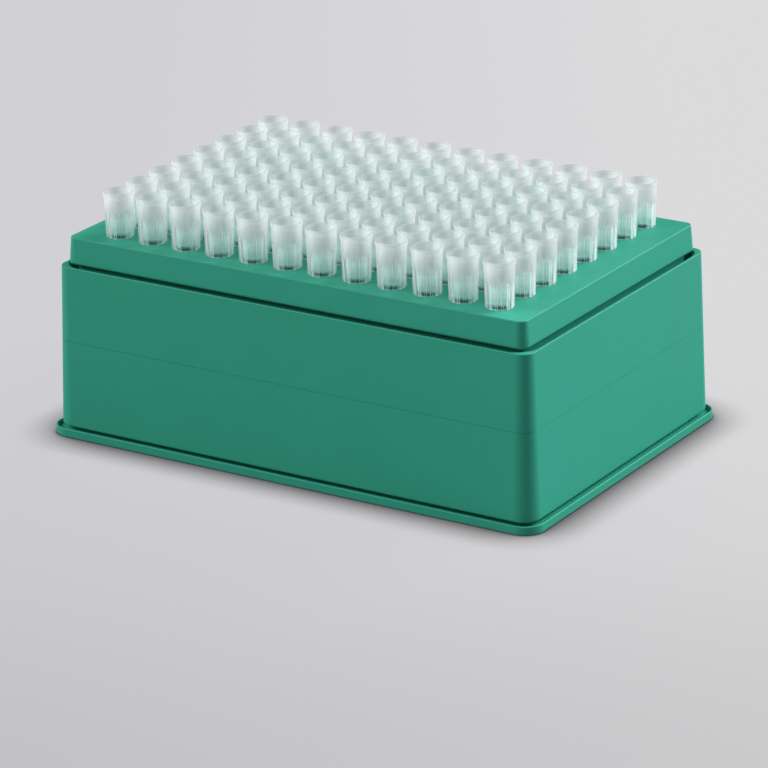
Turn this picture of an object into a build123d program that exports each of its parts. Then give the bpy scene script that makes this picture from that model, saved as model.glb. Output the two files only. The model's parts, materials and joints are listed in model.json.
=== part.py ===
from build123d import *
import math
import os

# A rectangular rack box of tapered pipette tips: a base tray, a drafted box standing in it,
# a drilled rack set into the top of the box, and a grid of tips hanging in the rack.
# Millimetres, +Z up, X along the long side, origin at the centre of the base.

# Grid of tips
pitch = 9.0
columns = 12
rows = 8
end_offset = 14.38  # last column's axis to the foot's outer edge
side_offset = 11.24  # last row's axis to the foot's outer edge

# Base tray, a flat floor inside a low lip
floor_thickness = 1.2
lip_height = 2.0
lip_thickness = 0.8
lip_gap = 0.45  # between the lip and the box wall
foot_radius = 4.6
lip_edge = 0.3  # width left on top of the lip by the lead-in inside it
lip_land = 0.2  # upright part of the inside of the lip, below its lead-in
locator_height = 2.5  # low wall inside the spigot of the box that centres it on the tray
locator_thickness = 1.0
locator_clearance = 0.2
underside_border = 5.0  # flat band that the tray stands on
underside_recess = 0.4

# Box, four drafted walls that are open above and below
wall_thickness = 1.05
wall_draft = 2.0  # degrees
box_radius = 4.2  # of the corners at the foot, less higher up because of the draft
rim_edge = 0.5  # width left on top of the rim by the lead-in inside it
rim_lead_in = 0.45  # height of that lead-in
mouth_radius = 4.5  # inside the corners of the rim, which are thicker than the wall
mouth_height = 1.0  # of those thicker corners
witness_height = 22.5  # fine moulded line round the outside
witness_width = 0.2
witness_depth = 0.08

# Rack, an upturned tray whose skirt drops inside the box
deck_rise = 6.55  # deck surface above the rim of the box
rack_radius = 2.4  # of the corners at the shoulder
deck_thickness = 1.5
deck_draft = 5.0  # degrees
rack_gap = 0.4  # between the wall of the box and the side of the rack
skirt_thickness = 1.05
skirt_depth = 5.0  # below the rim
sleeve_wall = 0.6  # short tube below each hole
sleeve_length = 3.0
hole_clearance = 0.22  # between a tip's barrel and its hole

# Shoulder under the outer wall of the box and of the rack, where each sinks into the piece below
box_shoulder_gap = 0.15  # above the lip
box_shoulder_step = 2.0
box_shoulder_radius = 0.5
rack_shoulder_gap = 0.2  # above the rim
rack_shoulder_step = 2.0
rack_shoulder_radius = 0.7

# Ribs inside the box that carry and centre the rack
rib_width = 1.2
rib_foot_clearance = 3.0  # above the tray's locating wall
rib_overhang = 0.2  # past the inside of the skirt
guide_clearance = 0.2
guide_drop = 3.0  # top of the guide below the rim
long_side_ribs = 4
short_side_ribs = 3

# Tip, measured from the deck that its fins stand on
collar_height = 10.6
barrel_length = 40.2
floor_clearance = 5.3  # between a tip's end and the tray's floor
socket_radius = 2.7
socket_length = 5.8
socket_chamfer = 0.3
collar_wall = 0.68
collar_taper = 0.05  # how much narrower the collar is at the top of its fins
bead_height = 1.1
bead_width = 0.17
neck_wall = 0.35  # between the fins, outside the socket
barrel_wall = 0.5
fin_length = 5.9
fin_count = 14
fin_thickness = 0.45
seat_width = 0.26  # of a fin's end on the deck
fine_end_length = 12.2
fine_end_radius = 1.15
fine_end_wall = 0.45
orifice_radius = 0.25
orifice_wall = 0.17

# Rounded edges
edge_radius = 0.3  # under the tray
rim_radius = 0.2  # on the lip and on the rim of the box
deck_edge_radius = 0.25
bead_edge_radius = 0.2
smallest_corner = 0.6

# Places that follow from the sizes above
foot_length = (columns - 1) * pitch + 2 * end_offset
foot_width = (rows - 1) * pitch + 2 * side_offset
deck_top = floor_thickness + floor_clearance + barrel_length
rim_top = deck_top - deck_rise
box_shoulder = lip_height + box_shoulder_gap
rack_shoulder = rim_top + rack_shoulder_gap
mouth_bottom = rim_top - mouth_height
skirt_bottom = rim_top - skirt_depth
spigot_top = box_shoulder + wall_thickness
skirt_top = rack_shoulder + skirt_thickness
locator_top = floor_thickness + locator_height
barrel_radius = socket_radius
hole_radius = barrel_radius + hole_clearance
collar_radius = socket_radius + collar_wall
overshoot = 1.0  # how far a cutting solid runs past the face that it opens


def wall_inset(z):
    """How far the outer face of the box lies inside the foot's edge at a height."""
    return lip_thickness + lip_gap + (z - box_shoulder) * math.tan(math.radians(wall_draft))


def spigot_inset():
    """How far the outer face of the spigot under the box lies inside the foot's edge."""
    return wall_inset(box_shoulder) + box_shoulder_step


def rack_inset(z):
    """How far the outer face of the rack lies inside the foot's edge at a height."""
    at_rim = wall_inset(rim_top) + wall_thickness + rack_gap
    return at_rim + (z - rim_top) * math.tan(math.radians(deck_draft))


def concentric(radius, start):
    """Corner radius as a function of the inset, for corners of the radius at the inset start."""
    return lambda inset: max(radius + start - inset, smallest_corner)


foot_corner = concentric(foot_radius, 0)
box_corner = concentric(box_radius, wall_inset(box_shoulder))
mouth_corner = concentric(mouth_radius, wall_inset(mouth_bottom) + wall_thickness)
rack_corner = concentric(rack_radius, rack_inset(rack_shoulder))


def block(corner, inset, low, high, draft=0.0):
    """Solid on a rounded rectangle inside the foot's edge, narrowing upwards by the draft."""
    length = foot_length - 2 * inset
    width = foot_width - 2 * inset
    outline = RectangleRounded(length, width, corner(inset))
    return extrude(Plane.XY.offset(low) * outline, high - low, taper=draft)


def ring(corner, outer_inset, inner_inset, low, high):
    """Upright wall between two insets."""
    return block(corner, outer_inset, low, high) - block(corner, inner_inset, low, high)


def lead_in(corner, inset, width, height, top):
    """Cutter that opens the mouth of a wall by a width over the last of its height."""
    slope = math.degrees(math.atan2(width, height))
    return block(corner, inset, top - height, top, -slope)


def spread(count, length):
    """Places of evenly spaced things along a length, centred on zero."""
    step = length / count
    return [(i - (count - 1) / 2) * step for i in range(count)]


def base_tray():
    plate = block(foot_corner, 0, 0, lip_height)
    plate = fillet(plate.edges().group_by(Axis.Z)[-1], rim_radius)
    plate = fillet(plate.edges().group_by(Axis.Z)[0], edge_radius)
    plate -= block(foot_corner, lip_thickness, floor_thickness, lip_height + overshoot)
    slope_height = lip_height - floor_thickness - lip_land
    plate -= lead_in(foot_corner, lip_thickness, lip_thickness - lip_edge, slope_height, lip_height)
    plate -= block(foot_corner, underside_border, -overshoot, underside_recess)
    outer = spigot_inset() + wall_thickness + locator_clearance
    inner = outer + locator_thickness
    return plate + ring(box_corner, outer, inner, floor_thickness, locator_top)


def rack_rib(reach):
    """Rib standing out from a wall towards -Y. Its outer face is buried in the wall at y = reach."""
    seat_inset = rack_inset(rim_top) + rack_shoulder_step
    outside = wall_inset(rim_top) + wall_thickness / 2
    foot = locator_top + rib_foot_clearance
    seat_depth = seat_inset + skirt_thickness + rib_overhang - outside
    guide_depth = seat_inset - guide_clearance - outside
    guide_top = rim_top - guide_drop
    seat = Box(rib_width, seat_depth, skirt_bottom - foot)
    guide = Box(rib_width, guide_depth, guide_top - foot)
    seat = Pos(0, reach - outside - seat_depth / 2, (foot + skirt_bottom) / 2) * seat
    guide = Pos(0, reach - outside - guide_depth / 2, (foot + guide_top) / 2) * guide
    return seat + guide


def box_ribs():
    ribs = []
    for x in spread(long_side_ribs, foot_length):
        for turn in (0, 180):
            ribs.append(Rot(0, 0, turn) * Pos(x, 0, 0) * rack_rib(foot_width / 2))
    for y in spread(short_side_ribs, foot_width):
        for turn in (90, 270):
            ribs.append(Rot(0, 0, turn) * Pos(y, 0, 0) * rack_rib(foot_length / 2))
    return ribs


def box_shell():
    outer = wall_inset(box_shoulder)
    shell = block(box_corner, outer, box_shoulder, rim_top, wall_draft)
    shell = fillet(shell.edges().group_by(Axis.Z)[-1], rim_radius)
    shell = fillet(shell.edges().group_by(Axis.Z)[0], box_shoulder_radius)
    witness_inset = wall_inset(witness_height) + witness_depth
    witness_top = witness_height + witness_width
    shell -= ring(box_corner, outer - overshoot, witness_inset, witness_height, witness_top)
    shell += block(box_corner, spigot_inset(), floor_thickness, box_shoulder)
    shell -= block(box_corner, spigot_inset() + wall_thickness, floor_thickness, spigot_top)
    inner = wall_inset(spigot_top) + wall_thickness
    shell -= block(box_corner, inner, spigot_top, mouth_bottom, wall_draft)
    neck = wall_inset(mouth_bottom) + wall_thickness
    shell -= block(mouth_corner, neck, mouth_bottom, rim_top, wall_draft)
    mouth = wall_inset(rim_top) + wall_thickness
    shell -= lead_in(mouth_corner, mouth, wall_thickness - rim_edge, rim_lead_in, rim_top)
    return shell + box_ribs()


def tip_places():
    """Axis of each tip, row by row, as (row, column, x, y). Row 0 is the +Y side."""
    for row in range(rows):
        for column in range(columns):
            x = (column - (columns - 1) / 2) * pitch
            y = ((rows - 1) / 2 - row) * pitch
            yield row, column, x, y


def upright(radius, low, high):
    return extrude(Plane.XY.offset(low) * Circle(radius), high - low)


def rack_deck():
    upper = block(rack_corner, rack_inset(rack_shoulder), rack_shoulder, deck_top, deck_draft)
    upper = fillet(upper.edges().group_by(Axis.Z)[-1], deck_edge_radius)
    upper = fillet(upper.edges().group_by(Axis.Z)[0], rack_shoulder_radius)
    skirt_inset = rack_inset(rim_top) + rack_shoulder_step
    shell = upper + block(rack_corner, skirt_inset, skirt_bottom, rack_shoulder)
    deck_bottom = deck_top - deck_thickness
    shell -= block(rack_corner, skirt_inset + skirt_thickness, skirt_bottom, skirt_top)
    inner = rack_inset(skirt_top) + skirt_thickness
    shell -= block(rack_corner, inner, skirt_top, deck_bottom, deck_draft)
    places = [Pos(x, y, 0) for _, _, x, y in tip_places()]
    sleeve = upright(hole_radius + sleeve_wall, deck_bottom - sleeve_length, deck_bottom)
    hole = upright(hole_radius, deck_bottom - sleeve_length - overshoot, deck_top + overshoot)
    shell = shell + [place * sleeve for place in places]
    return shell - [place * hole for place in places]


def tip_outline():
    """Half section of a tip without its fins, as (radius, height) corners."""
    bead_radius = collar_radius + bead_width
    step = collar_height - socket_length
    neck_radius = socket_radius + neck_wall
    bore = barrel_radius - barrel_wall
    kink = fine_end_length - barrel_length
    return [
        (orifice_radius, -barrel_length),
        (orifice_radius + orifice_wall, -barrel_length),
        (fine_end_radius, kink),
        (barrel_radius, 0),
        (neck_radius, step),
        (neck_radius, fin_length),
        (collar_radius - collar_taper, fin_length + neck_wall),
        (collar_radius, collar_height - bead_height - bead_width),
        (bead_radius, collar_height - bead_height),
        (bead_radius, collar_height),
        (socket_radius + socket_chamfer, collar_height),
        (socket_radius, collar_height - socket_chamfer),
        (socket_radius, step),
        (bore, step),
        (bore, 0),
        (fine_end_radius - fine_end_wall, kink),
    ]


def tip_fin():
    """One fin, wide enough inwards to be buried in the wall of the neck."""
    buried = barrel_radius - barrel_wall / 2
    outer_low = hole_radius + seat_width
    outer_high = collar_radius - collar_taper
    buried_high = socket_radius + neck_wall / 2
    side = Polyline(
        (buried, 0),
        (outer_low, 0),
        (outer_high, fin_length + neck_wall),
        (buried_high, fin_length + neck_wall),
        (buried_high, collar_height - socket_length),
        close=True,
    )
    return extrude(Plane.XZ * make_face(side), fin_thickness / 2, both=True)


def tip():
    """A tip with the underside of its fins at the origin."""
    half = make_face(Polyline(*tip_outline(), close=True))
    body = revolve(Plane.XZ * half, Axis.Z)
    body = fillet(body.edges().group_by(Axis.Z)[-1].sort_by(SortBy.RADIUS)[-1], bead_edge_radius)
    fins = [Rot(0, 0, i * 360 / fin_count) * tip_fin() for i in range(fin_count)]
    return body + fins


def tip_pairs():
    """Two neighbouring tips to a node, named by their wells, such as tips_a1_b1."""
    one = tip()
    pairs = {}
    for row, column, x, y in tip_places():
        first = chr(ord("a") + row - row % 2)
        second = chr(ord(first) + 1)
        name = f"tips_{first}{column + 1}_{second}{column + 1}"
        pairs.setdefault(name, []).append(Pos(x, y, deck_top) * one)
    return {name: Compound(tips) for name, tips in pairs.items()}


os.makedirs("parts", exist_ok=True)
nodes = {"base_tray": base_tray(), "box_shell": box_shell(), "rack_deck": rack_deck()}
nodes.update(tip_pairs())
for name, shape in nodes.items():
    export_step(shape, f"parts/{name}.step")
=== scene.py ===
import json
import math

import bpy
from mathutils import Matrix, Vector


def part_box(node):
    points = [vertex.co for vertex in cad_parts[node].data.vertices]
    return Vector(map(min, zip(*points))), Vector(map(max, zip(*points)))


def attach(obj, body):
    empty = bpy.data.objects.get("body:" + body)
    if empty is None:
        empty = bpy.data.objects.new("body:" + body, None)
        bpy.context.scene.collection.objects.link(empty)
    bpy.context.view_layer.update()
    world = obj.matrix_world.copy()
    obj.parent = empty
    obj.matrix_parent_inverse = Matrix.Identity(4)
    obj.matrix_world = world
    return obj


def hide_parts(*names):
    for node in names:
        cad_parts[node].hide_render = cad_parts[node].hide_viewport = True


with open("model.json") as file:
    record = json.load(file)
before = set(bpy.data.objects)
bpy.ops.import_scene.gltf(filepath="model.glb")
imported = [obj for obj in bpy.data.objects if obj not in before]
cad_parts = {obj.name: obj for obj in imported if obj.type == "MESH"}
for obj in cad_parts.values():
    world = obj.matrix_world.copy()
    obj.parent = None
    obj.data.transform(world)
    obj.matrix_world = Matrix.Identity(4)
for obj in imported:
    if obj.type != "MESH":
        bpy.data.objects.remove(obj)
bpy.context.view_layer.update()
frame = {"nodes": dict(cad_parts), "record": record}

MM = 0.001
RECORD = frame["record"]

# Places read from the frame
DECK_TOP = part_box("rack_deck")[1].z
FIRST_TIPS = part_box("tips_a1_b1")
TIP_END = FIRST_TIPS[0].z
TIP_TOP = FIRST_TIPS[1].z
BEAD_RADIUS = (FIRST_TIPS[1].x - FIRST_TIPS[0].x) / 2
SOCKETS = {m["name"]: m for m in RECORD["mounts"] if m["name"].startswith("socket_")}
FIRST_SOCKET = SOCKETS["socket_a1"]
SOCKET_RADIUS = FIRST_SOCKET["dims"]["r_mm"] * MM
SOCKET_LENGTH = FIRST_SOCKET["dims"]["length_mm"] * MM
PITCH = SOCKETS["socket_a2"]["pos_m"][0] - FIRST_SOCKET["pos_m"][0]
ROW_LETTERS = "abcdefgh"
ROWS = len(ROW_LETTERS)
COLUMNS = len(SOCKETS) // ROWS

# Form of a tip
COLLAR_WALL = 0.68 * MM
COLLAR_TAPER = 0.05 * MM  # how much narrower the collar is at the top of its fins
NECK_WALL = 0.35 * MM
BARREL_WALL = 0.5 * MM
BEAD_HEIGHT = 1.1 * MM
BEAD_CORNER = 0.22 * MM
MOUTH_LEAD_IN = 0.3 * MM
FIN_COUNT = 14
FIN_THICKNESS = 0.45 * MM
FIN_FLANK = 0.25  # width of a fin's sloping flank, as a share of half the fin
FIN_LENGTH = 5.9 * MM
FIN_SEAT_RADIUS = 3.18 * MM
SEAT_DEPTH = 0.8 * MM
FINE_END_LENGTH = 12.2 * MM
FINE_END_RADIUS = 1.15 * MM
FINE_END_BORE = 0.7 * MM
ORIFICE_RADIUS = 0.25 * MM
END_RADIUS = 0.42 * MM
SHARP_ANGLE = 40.0  # degrees between faces that meet in a hard edge

# Haze of a tip's skin, as the share of light that one face of the wall scatters, and the
# heights above the deck to which the base and the feet of the fins reach
BARREL_HAZE = 0.02
SEAT_HAZE = 0.6
BASE_HAZE = 0.05
NECK_HAZE = 0.34
BORE_HAZE = 0.65
FIN_SIDE_HAZE = 0.5
FIN_FOOT_HAZE = 0.8
COLLAR_HAZE = 0.36
BASE_HEIGHT = 1.0 * MM
FOOT_HEIGHT = 0.2 * MM
GLOW_SHARE = 0.7  # of the scattered light that goes on through the wall

# Colours of that haze, and the lengths over which one runs to the next; the socket, foot and bore
# colours hold painted shade and light
COLLAR_COLOUR = (0.82, 0.785, 0.78)
# painted shade: the socket's inner faces are darker and teal, for the shade and green deck seen in
# the mouth
PAINTED_SHADE_SOCKET_COLOUR = (0.67, 0.725, 0.715)
# painted light: the lower outside of a tip is made whiter where its neighbours shade it
PAINTED_LIGHT_FOOT_COLOUR = (0.92, 0.94, 0.935)
PAINTED_LIGHT_FOOT_BLEND = 4.0 * MM
# painted light: the bore below the socket is tinted cyan for green light from the deck
PAINTED_GREEN_BORE_COLOUR = (0.52, 0.98, 0.96)
PAINTED_GREEN_BORE_BLEND = 3.0 * MM
CLEAR_TINT = (0.965, 0.985, 0.982)
CLOUD_SCALE = 450.0
CLOUD_LEVELS = (0.975, 1.02)
TIP_ROUGHNESS = 0.5

# Green plastic, with the scales of its patterns per metre
GREEN_LIGHT = (0.033, 0.328, 0.226)
GREEN_DARK = (0.029, 0.308, 0.212)
FLOW_SCALE = 70.0
GLOSS_SCALE = 400.0
GLOSS_ROUGHNESS = (0.41, 0.5)
GRAIN_SCALE = 2600.0
GRAIN_STRENGTH = 0.1
GRAIN_DEPTH = 0.03 * MM

# Both plastics
PLASTIC_IOR = 1.49
SPECULAR_LEVEL = 0.15

# Floor: its tone runs from left to right and darkens a little to the front
FLOOR_HALF_SIZE = 4.0
SWEEP_AZIMUTH = 32.0
SWEEP_LEFT = (0.622, 0.620, 0.644)
SWEEP_RIGHT = (0.692, 0.689, 0.700)
SWEEP_BLEND = 0.08
SWEEP_FRONT = 0.84
SWEEP_DEPTH = 0.2
# Painted shadow where the object stands: ambient occlusion darkens the sweep's tone round its foot
PAINTED_SHADOW_WIDTH = 0.0115
PAINTED_SHADOW_DEPTH = 0.06
PAINTED_SHADOW_TONE = 0.5
PAINTED_SHADOW_SAMPLES = 16
CAST_SHARE = 0.04  # of the floor's tone that the lamps' shadows act on
BOUNCE_COLOUR = (0.3, 0.3, 0.31)  # of the floor as it lights the object

# Camera
CAMERA_AZIMUTH = 32.34
CAMERA_ELEVATION = 20.47
CAMERA_ROLL = -1.12
CAMERA_DISTANCE = 0.9304
CAMERA_AIM = Vector((3.3, -5.2, 12.0)) * MM
CAMERA_LENS = 192.4
CAMERA_REACH = 20.0

# Light
LAMP_DISTANCE = 3.9
LAMP_WIDTH = 2.7
LAMP_HEIGHT = 2.1
WORLD_COLOUR = (0.98, 0.99, 1.0)
WORLD_LEVEL = 0.19
CLEAR_WALLS = 32  # walls of tips that light may pass through in a line


def direction(azimuth, elevation):
    """Unit vector to a place round the object; azimuth 0 is on the -Y side and 90 on the +X side."""
    a = math.radians(azimuth)
    e = math.radians(elevation)
    return Vector((math.sin(a) * math.cos(e), -math.cos(a) * math.cos(e), math.sin(e)))


# ---------------------------------------------------------------- node helpers


def new_material(name):
    material = bpy.data.materials.new(name)
    material.use_nodes = True
    material.node_tree.nodes.clear()
    return material, material.node_tree


def feed(tree, socket, value):
    """Sets an input to a constant, or links another node's output to it."""
    if isinstance(value, bpy.types.NodeSocket):
        tree.links.new(value, socket)
    else:
        socket.default_value = value


def add_node(tree, kind, **sockets):
    """A node with its inputs set. A value may be a constant or another node's output."""
    node = tree.nodes.new(kind)
    for name, value in sockets.items():
        feed(tree, node.inputs[name.replace("_", " ")], value)
    return node


def attribute(tree, name):
    node = tree.nodes.new("ShaderNodeAttribute")
    node.attribute_name = name
    return node


def noise(tree, place, scale, detail=2.0):
    return add_node(tree, "ShaderNodeTexNoise", Vector=place, Scale=scale, Detail=detail).outputs[0]


def remap(tree, value, low, high, start=0.3, stop=0.7):
    node = add_node(
        tree,
        "ShaderNodeMapRange",
        Value=value,
        From_Min=start,
        From_Max=stop,
        To_Min=low,
        To_Max=high,
    )
    return node.outputs["Result"]


def combine(tree, operation, first, second):
    """Two numbers put together by a Math node."""
    node = tree.nodes.new("ShaderNodeMath")
    node.operation = operation
    feed(tree, node.inputs[0], first)
    feed(tree, node.inputs[1], second)
    return node.outputs[0]


def blend_colours(tree, share, first, second):
    """The first colour, running to the second one as the share goes from 0 to 1."""
    node = tree.nodes.new("ShaderNodeMix")
    node.data_type = "RGBA"
    feed(tree, node.inputs["Factor"], share)
    feed(tree, node.inputs["A"], first)
    feed(tree, node.inputs["B"], second)
    return [socket for socket in node.outputs if socket.type == "RGBA"][0]


def blend_shaders(tree, share, first, second):
    """The first shader, with the second one in its place for a share of the light."""
    node = tree.nodes.new("ShaderNodeMixShader")
    for socket, value in zip(node.inputs, (share, first, second)):
        feed(tree, socket, value)
    return node.outputs[0]


def plastic(tree, colour, **sockets):
    """Shader of both plastics; the sockets set what is left of it."""
    node = add_node(
        tree,
        "ShaderNodeBsdfPrincipled",
        Base_Color=colour,
        IOR=PLASTIC_IOR,
        Specular_IOR_Level=SPECULAR_LEVEL,
        **sockets,
    )
    return node.outputs[0]


def finish_material(tree, shader):
    output = tree.nodes.new("ShaderNodeOutputMaterial")
    tree.links.new(shader, output.inputs["Surface"])


# ------------------------------------------------------------------- materials


def green_plastic(name):
    """Moulded green polypropylene: slight flow mottling, a fine eroded texture and soft gloss."""
    material, tree = new_material(name)
    place = tree.nodes.new("ShaderNodeTexCoord").outputs["Object"]
    flow = noise(tree, place, FLOW_SCALE, detail=3.0)
    colour = blend_colours(tree, flow, (*GREEN_DARK, 1), (*GREEN_LIGHT, 1))
    grain = add_node(
        tree,
        "ShaderNodeBump",
        Strength=GRAIN_STRENGTH,
        Distance=GRAIN_DEPTH,
        Height=noise(tree, place, GRAIN_SCALE),
    )
    gloss = remap(tree, noise(tree, place, GLOSS_SCALE), *GLOSS_ROUGHNESS)
    finish_material(tree, plastic(tree, colour, Roughness=gloss, Normal=grain.outputs["Normal"]))
    return material


def frosted_plastic(name):
    """Thin natural polypropylene: a milky haze over a clear wall.

    The mesh says for each face how dense the haze is and what colour it has; that colour holds
    painted shade in the socket, painted light at the feet and painted green light in the bore.
    """
    material, tree = new_material(name)
    place = tree.nodes.new("ShaderNodeTexCoord").outputs["Object"]
    mottled = tree.nodes.new("ShaderNodeVectorMath")
    mottled.operation = "SCALE"
    feed(tree, mottled.inputs[0], attribute(tree, "tint").outputs["Color"])
    cloud = remap(tree, noise(tree, place, CLOUD_SCALE), *CLOUD_LEVELS)
    feed(tree, mottled.inputs["Scale"], cloud)
    colour = mottled.outputs["Vector"]
    skin = plastic(tree, colour, Roughness=TIP_ROUGHNESS)
    glow = add_node(tree, "ShaderNodeBsdfTranslucent", Color=colour)
    haze = blend_shaders(tree, GLOW_SHARE, skin, glow.outputs[0])
    clear = add_node(tree, "ShaderNodeBsdfTransparent", Color=(*CLEAR_TINT, 1))
    share = attribute(tree, "haze").outputs["Fac"]
    finish_material(tree, blend_shaders(tree, share, clear.outputs[0], haze))
    return material


def floor_tone(tree):
    """Colour of the sweep: lighter at the right and at the back, with a painted shadow where the
    object stands.
    """
    place = tree.nodes.new("ShaderNodeTexCoord").outputs["Object"]
    turned = add_node(
        tree, "ShaderNodeVectorRotate", Vector=place, Angle=-math.radians(SWEEP_AZIMUTH)
    )
    turned.rotation_type = "Z_AXIS"
    across = add_node(tree, "ShaderNodeSeparateXYZ", Vector=turned.outputs["Vector"])
    side = remap(tree, across.outputs["X"], 0.0, 1.0, -SWEEP_BLEND, SWEEP_BLEND)
    even = blend_colours(tree, side, (*SWEEP_LEFT, 1), (*SWEEP_RIGHT, 1))
    front = remap(tree, across.outputs["Y"], 1.0, SWEEP_FRONT, 0.0, -SWEEP_DEPTH)
    front.node.interpolation_type = "SMOOTHSTEP"
    # painted shadow: ambient occlusion darkens the sweep round the object's foot
    shadow_occlusion = add_node(tree, "ShaderNodeAmbientOcclusion", Distance=PAINTED_SHADOW_WIDTH)
    shadow_occlusion.samples = PAINTED_SHADOW_SAMPLES
    painted_shadow_level = remap(tree, shadow_occlusion.outputs["AO"], PAINTED_SHADOW_DEPTH, 1.0, PAINTED_SHADOW_TONE, 1.0)
    level = combine(tree, "MULTIPLY", front, painted_shadow_level)
    return blend_colours(tree, level, (0, 0, 0, 1), even)


def floor_material():
    """Pale studio sweep that shines evenly, takes a little of the lamps' shadows and lights the
    object only weakly."""
    material, tree = new_material("pale_sweep")
    tone = floor_tone(tree)
    glow = add_node(tree, "ShaderNodeEmission", Color=tone, Strength=1.0)
    cast = add_node(tree, "ShaderNodeBsdfDiffuse", Color=tone)
    seen = blend_shaders(tree, CAST_SHARE, glow.outputs[0], cast.outputs[0])
    bounced = add_node(tree, "ShaderNodeBsdfDiffuse", Color=(*BOUNCE_COLOUR, 1))
    path = tree.nodes.new("ShaderNodeLightPath").outputs
    direct = combine(tree, "MAXIMUM", path["Is Camera Ray"], path["Is Transmission Ray"])
    finish_material(tree, blend_shaders(tree, direct, bounced.outputs[0], seen))
    return material


# ------------------------------------------------------------------------ tips


def tip_rings():
    """Section of a tip from its end up the outside and down the bore.

    Each ring is (height above the deck, radius between the fins, radius on a fin).
    """
    end = TIP_END - DECK_TOP
    top = TIP_TOP - DECK_TOP
    collar = SOCKET_RADIUS + COLLAR_WALL
    neck = SOCKET_RADIUS + NECK_WALL
    barrel = SOCKET_RADIUS
    step = top - SOCKET_LENGTH
    kink = end + FINE_END_LENGTH
    bead_foot = top - BEAD_HEIGHT
    fin_top = collar - COLLAR_TAPER

    def plain(z, radius):
        return (z, radius, radius)

    rings = [
        plain(end, ORIFICE_RADIUS),
        plain(end, END_RADIUS - 0.05 * MM),
        plain(end + 0.06 * MM, END_RADIUS),
        plain(kink, FINE_END_RADIUS),
        plain(-SEAT_DEPTH - 0.2 * MM, barrel),
        plain(-SEAT_DEPTH + 0.2 * MM, barrel),
        plain(-0.05 * MM, barrel),
        (0.0, barrel, barrel + 0.1 * MM),
        (0.0, barrel + 0.005 * MM, FIN_SEAT_RADIUS - 0.12 * MM),
        (0.12 * MM, barrel + 0.01 * MM, FIN_SEAT_RADIUS),
        (0.3 * MM, barrel + 0.02 * MM, FIN_SEAT_RADIUS + 0.01 * MM),
        (BASE_HEIGHT - 0.05 * MM, barrel + 0.08 * MM, FIN_SEAT_RADIUS + 0.03 * MM),
        (BASE_HEIGHT + 0.8 * MM, barrel + 0.14 * MM, FIN_SEAT_RADIUS + 0.05 * MM),
        (step, neck, FIN_SEAT_RADIUS + 0.12 * MM),
        (FIN_LENGTH - 0.1 * MM, neck + 0.02 * MM, fin_top - 0.02 * MM),
        plain(FIN_LENGTH + NECK_WALL, fin_top),
        plain(bead_foot - 0.3 * MM, collar),
        plain(bead_foot - 0.12 * MM, collar + 0.02 * MM),
        plain(bead_foot, BEAD_RADIUS - 0.05 * MM),
        plain(bead_foot + 0.12 * MM, BEAD_RADIUS),
        plain(top - BEAD_CORNER, BEAD_RADIUS),
    ]
    for turn in (30, 60, 90):
        out = BEAD_CORNER * math.cos(math.radians(turn))
        up = BEAD_CORNER * math.sin(math.radians(turn))
        rings.append(plain(top - BEAD_CORNER + up, BEAD_RADIUS - BEAD_CORNER + out))
    mouth = SOCKET_RADIUS + MOUTH_LEAD_IN
    rings += [
        plain(top, mouth + 0.06 * MM),
        plain(top - 0.04 * MM, mouth - 0.03 * MM),
        plain(top - 0.3 * MM, SOCKET_RADIUS + 0.03 * MM),
        plain(top - 0.4 * MM, SOCKET_RADIUS),
        plain(step + 0.12 * MM, SOCKET_RADIUS),
        plain(step + 0.02 * MM, SOCKET_RADIUS - 0.1 * MM),
        plain(step, barrel - BARREL_WALL + 0.08 * MM),
        plain(step - 0.08 * MM, barrel - BARREL_WALL),
        plain(BASE_HEIGHT + 0.8 * MM, barrel - BARREL_WALL),
        plain(BASE_HEIGHT - 0.05 * MM, barrel - BARREL_WALL),
        plain(0.0, barrel - BARREL_WALL),
        plain(-0.2 * MM, barrel - BARREL_WALL),
        plain(-SEAT_DEPTH + 0.2 * MM, barrel - BARREL_WALL),
        plain(-SEAT_DEPTH - 0.2 * MM, barrel - BARREL_WALL),
        plain(kink, FINE_END_BORE),
        plain(end + 0.05 * MM, ORIFICE_RADIUS),
    ]
    return rings


def haze_at(z, is_outside, fin_corners):
    """Haze of a face at a height above the deck; fin_corners of its two sides lie on a fin."""
    if z < -SEAT_DEPTH:
        return BARREL_HAZE
    if z < 0:
        return SEAT_HAZE
    if z > FIN_LENGTH:
        return COLLAR_HAZE
    if not is_outside:
        if z > TIP_TOP - DECK_TOP - SOCKET_LENGTH:
            return COLLAR_HAZE
        return BORE_HAZE if z > BASE_HEIGHT else BASE_HAZE
    if fin_corners == 1:
        return FIN_SIDE_HAZE
    if fin_corners == 2 and z < FOOT_HEIGHT:
        return FIN_FOOT_HAZE
    return BASE_HAZE if z < BASE_HEIGHT else NECK_HAZE


def blend_below(first, second, top, depth, z):
    """The first colour above a height, running to the second one at a depth below it."""
    share = min(1.0, max(0.0, (top - z) / depth))
    return tuple(a + (b - a) * share for a, b in zip(first, second))


def tint_and_painted_light_at(z, is_outside):
    """Colour of the haze of a face at a height above the deck, with painted shade in the socket,
    painted light at the feet and painted green light in the bore.
    """
    step = TIP_TOP - DECK_TOP - SOCKET_LENGTH
    # inside the socket, a darker teal colour: painted shade and painted green seen through the wall
    if not is_outside and z > step:
        return PAINTED_SHADE_SOCKET_COLOUR
    # the outside runs whiter towards the feet, painted light where neighbouring tips shade them
    colour = blend_below(COLLAR_COLOUR, PAINTED_LIGHT_FOOT_COLOUR, FIN_LENGTH, PAINTED_LIGHT_FOOT_BLEND, z)
    # inside, the bore runs to a cyan colour, painted green light from the deck
    return colour if is_outside else blend_below(colour, PAINTED_GREEN_BORE_COLOUR, step, PAINTED_GREEN_BORE_BLEND, z)


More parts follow.
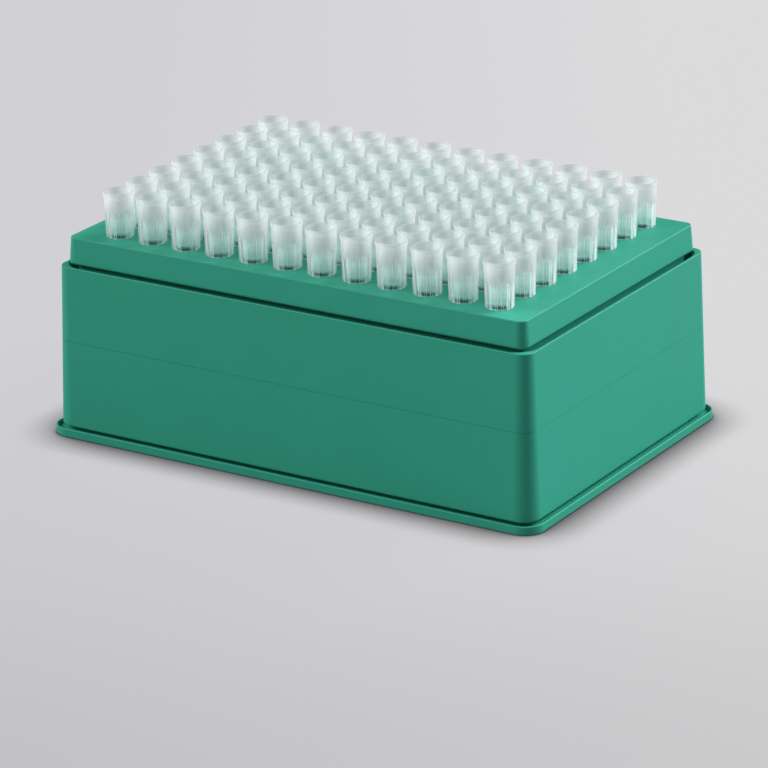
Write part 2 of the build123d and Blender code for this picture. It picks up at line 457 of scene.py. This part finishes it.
def fin_angles():
    """Angles round a tip, four flank lines to each fin and two more in each gap, with what is fin."""
    half = FIN_THICKNESS / 2 / FIN_SEAT_RADIUS
    flank = half * FIN_FLANK
    period = 2 * math.pi / FIN_COUNT
    angles = []
    for i in range(FIN_COUNT):
        middle = i * period
        angles += [
            (middle - half - flank, False),
            (middle - half, True),
            (middle + half, True),
            (middle + half + flank, False),
            (middle + period * 0.4, False),
            (middle + period * 0.6, False),
        ]
    return angles


def tip_mesh():
    """One tip standing on the deck at the origin, as a single closed skin."""
    angles = fin_angles()
    rings = tip_rings()
    mouth = max(range(len(rings)), key=lambda ring: rings[ring][0])
    vertices = []
    for z, between, on_fin in rings:
        for angle, is_fin in angles:
            radius = on_fin if is_fin else between
            vertices.append((radius * math.cos(angle), radius * math.sin(angle), z))
    faces = []
    haze = []
    tint = []
    count = len(angles)
    for ring in range(len(rings)):
        above = (ring + 1) % len(rings)
        middle = (rings[ring][0] + rings[above][0]) / 2
        for i in range(count):
            j = (i + 1) % count
            faces.append((ring * count + i, ring * count + j, above * count + j, above * count + i))
            haze.append(haze_at(middle, ring < mouth, angles[i][1] + angles[j][1]))
            tint += (*tint_and_painted_light_at(middle, ring < mouth), 1.0)
    mesh = bpy.data.meshes.new("tip")
    mesh.from_pydata(vertices, [], faces)
    mesh.attributes.new("haze", "FLOAT", "FACE").data.foreach_set("value", haze)
    mesh.attributes.new("tint", "FLOAT_COLOR", "FACE").data.foreach_set("color", tint)
    mesh.shade_smooth()
    mesh.set_sharp_from_angle(angle=math.radians(SHARP_ANGLE))
    mesh.validate()
    return mesh


def tip_column_tree():
    """Geometry Nodes tree that stands copies of a tip in a straight column, each turned at random."""
    tree = bpy.data.node_groups.new("tip_column", "GeometryNodeTree")
    inputs = {
        "Tip": "NodeSocketGeometry",
        "Count": "NodeSocketInt",
        "First Place": "NodeSocketVector",
        "Pitch": "NodeSocketFloat",
        "Seed": "NodeSocketInt",
        "Plastic": "NodeSocketMaterial",
    }
    for name, kind in inputs.items():
        tree.interface.new_socket(name, in_out="INPUT", socket_type=kind)
    tree.interface.new_socket("Column", in_out="OUTPUT", socket_type="NodeSocketGeometry")
    source = tree.nodes.new("NodeGroupInput")
    target = tree.nodes.new("NodeGroupOutput")
    step = tree.nodes.new("ShaderNodeVectorMath")
    step.operation = "SCALE"
    step.inputs[0].default_value = (0, -1, 0)
    line = tree.nodes.new("GeometryNodeMeshLine")
    turn = tree.nodes.new("FunctionNodeRandomValue")
    turn.data_type = "FLOAT"
    turn.inputs[3].default_value = math.tau  # the greatest of its plain numbers
    spin = tree.nodes.new("ShaderNodeCombineXYZ")
    stand = tree.nodes.new("GeometryNodeInstanceOnPoints")
    realize = tree.nodes.new("GeometryNodeRealizeInstances")
    coat = tree.nodes.new("GeometryNodeSetMaterial")
    link = tree.links.new
    link(source.outputs["Pitch"], step.inputs["Scale"])
    link(source.outputs["Count"], line.inputs["Count"])
    link(source.outputs["First Place"], line.inputs["Start Location"])
    link(step.outputs[0], line.inputs["Offset"])
    link(source.outputs["Seed"], turn.inputs["Seed"])
    link(turn.outputs[1], spin.inputs["Z"])
    link(line.outputs["Mesh"], stand.inputs["Points"])
    link(source.outputs["Tip"], stand.inputs["Instance"])
    link(spin.outputs["Vector"], stand.inputs["Rotation"])
    link(stand.outputs["Instances"], realize.inputs["Geometry"])
    link(realize.outputs["Geometry"], coat.inputs["Geometry"])
    link(source.outputs["Plastic"], coat.inputs["Material"])
    link(coat.outputs["Geometry"], target.inputs["Column"])
    return tree


def set_inputs(modifier, **values):
    """Sets a Geometry Nodes modifier's named inputs by their identifiers."""
    for item in modifier.node_group.interface.items_tree:
        key = item.name.replace(" ", "_").lower()
        if item.in_out == "INPUT" and key in values:
            modifier[item.identifier] = values[key]


def tip_column(column, tip, tree, coat):
    """Eight tips of one column as a plain mesh that replaces that column's nodes."""
    name = f"tip_column_{column}"
    piece = bpy.data.objects.new(name, tip)
    bpy.context.collection.objects.link(piece)
    modifier = piece.modifiers.new("column", "NODES")
    modifier.node_group = tree
    place = SOCKETS[f"socket_{ROW_LETTERS[0]}{column}"]["pos_m"]
    set_inputs(
        modifier,
        count=ROWS,
        first_place=(place[0], place[1], DECK_TOP),
        pitch=PITCH,
        seed=column,
        plastic=coat,
    )
    graph = bpy.context.evaluated_depsgraph_get()
    mesh = bpy.data.meshes.new_from_object(piece.evaluated_get(graph))
    piece.modifiers.clear()
    mesh.name = name
    piece.data = mesh
    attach(piece, "root")
    pairs = [ROW_LETTERS[i : i + 2] for i in range(0, ROWS, 2)]
    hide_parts(*[f"tips_{p[0]}{column}_{p[1]}{column}" for p in pairs])


def make_tips():
    coat = frosted_plastic("frosted_polypropylene")
    tip = tip_mesh()
    tree = tip_column_tree()
    for column in range(1, COLUMNS + 1):
        tip_column(column, tip, tree, coat)


# ----------------------------------------------------------------- green pieces


def coat_green_pieces():
    coat = green_plastic("green_polypropylene")
    for name in ("base_tray", "box_shell", "rack_deck"):
        mesh = frame["nodes"][name].data
        mesh.materials.clear()
        mesh.materials.append(coat)


# ------------------------------------------------------------- floor, lamps, camera


def make_floor():
    half = FLOOR_HALF_SIZE
    mesh = bpy.data.meshes.new("table_top")
    corners = [(-half, -half, 0), (half, -half, 0), (half, half, 0), (-half, half, 0)]
    mesh.from_pydata(corners, [], [(0, 1, 2, 3)])
    floor = bpy.data.objects.new("table_top", mesh)
    bpy.context.collection.objects.link(floor)
    mesh.materials.append(floor_material())


def add_lamp(name, azimuth, elevation, power, colour):
    """A soft rectangular lamp that faces the middle of the object."""
    lamp = bpy.data.lights.new(name, "AREA")
    lamp.shape = "RECTANGLE"
    lamp.size = LAMP_WIDTH
    lamp.size_y = LAMP_HEIGHT
    lamp.energy = power
    lamp.color = colour
    holder = bpy.data.objects.new(name, lamp)
    bpy.context.collection.objects.link(holder)
    towards = direction(azimuth, elevation)
    middle = Vector((0, 0, DECK_TOP / 2))
    holder.location = middle + towards * LAMP_DISTANCE
    holder.rotation_euler = (-towards).to_track_quat("-Z", "Y").to_euler()


def make_lamps():
    add_lamp("right_lamp", azimuth=146, elevation=32, power=272.0, colour=(0.95, 1.0, 1.02))
    add_lamp("left_lamp", azimuth=-57, elevation=35, power=153.0, colour=(1.0, 1.0, 1.0))


def make_world():
    """Even soft light from all round, which the camera sees as the pale tone of the sweep."""
    world = bpy.data.worlds.new("studio")
    bpy.context.scene.world = world
    world.use_nodes = True
    tree = world.node_tree
    tree.nodes.clear()
    colour = (*WORLD_COLOUR, 1)
    light = add_node(tree, "ShaderNodeBackground", Color=colour, Strength=WORLD_LEVEL)
    tone = [(left + right) / 2 for left, right in zip(SWEEP_LEFT, SWEEP_RIGHT)]
    seen = add_node(tree, "ShaderNodeBackground", Color=(*tone, 1))
    direct = tree.nodes.new("ShaderNodeLightPath").outputs["Is Camera Ray"]
    both = blend_shaders(tree, direct, light.outputs[0], seen.outputs[0])
    output = tree.nodes.new("ShaderNodeOutputWorld")
    tree.links.new(both, output.inputs["Surface"])


def make_camera():
    lens = bpy.data.cameras.new("camera")
    lens.lens = CAMERA_LENS
    lens.clip_end = CAMERA_REACH
    camera = bpy.data.objects.new("camera", lens)
    bpy.context.collection.objects.link(camera)
    back = direction(CAMERA_AZIMUTH, CAMERA_ELEVATION)
    level = Vector((0, 0, 1)).cross(back).normalized()
    upright = back.cross(level)
    turn = Matrix((level, upright, back)).transposed().to_4x4()
    roll = Matrix.Rotation(math.radians(CAMERA_ROLL), 4, "Z")
    place = Matrix.Translation(CAMERA_AIM + back * CAMERA_DISTANCE)
    camera.matrix_world = place @ turn @ roll
    bpy.context.scene.camera = camera


def write_sizes():
    def plain(bounds):
        return [list(corner) for corner in bounds]


bpy.context.scene.view_settings.view_transform = "Standard"
bpy.context.scene.cycles.transparent_max_bounces = CLEAR_WALLS
make_camera()
make_lamps()
make_world()
make_floor()
coat_green_pieces()
make_tips()
write_sizes()
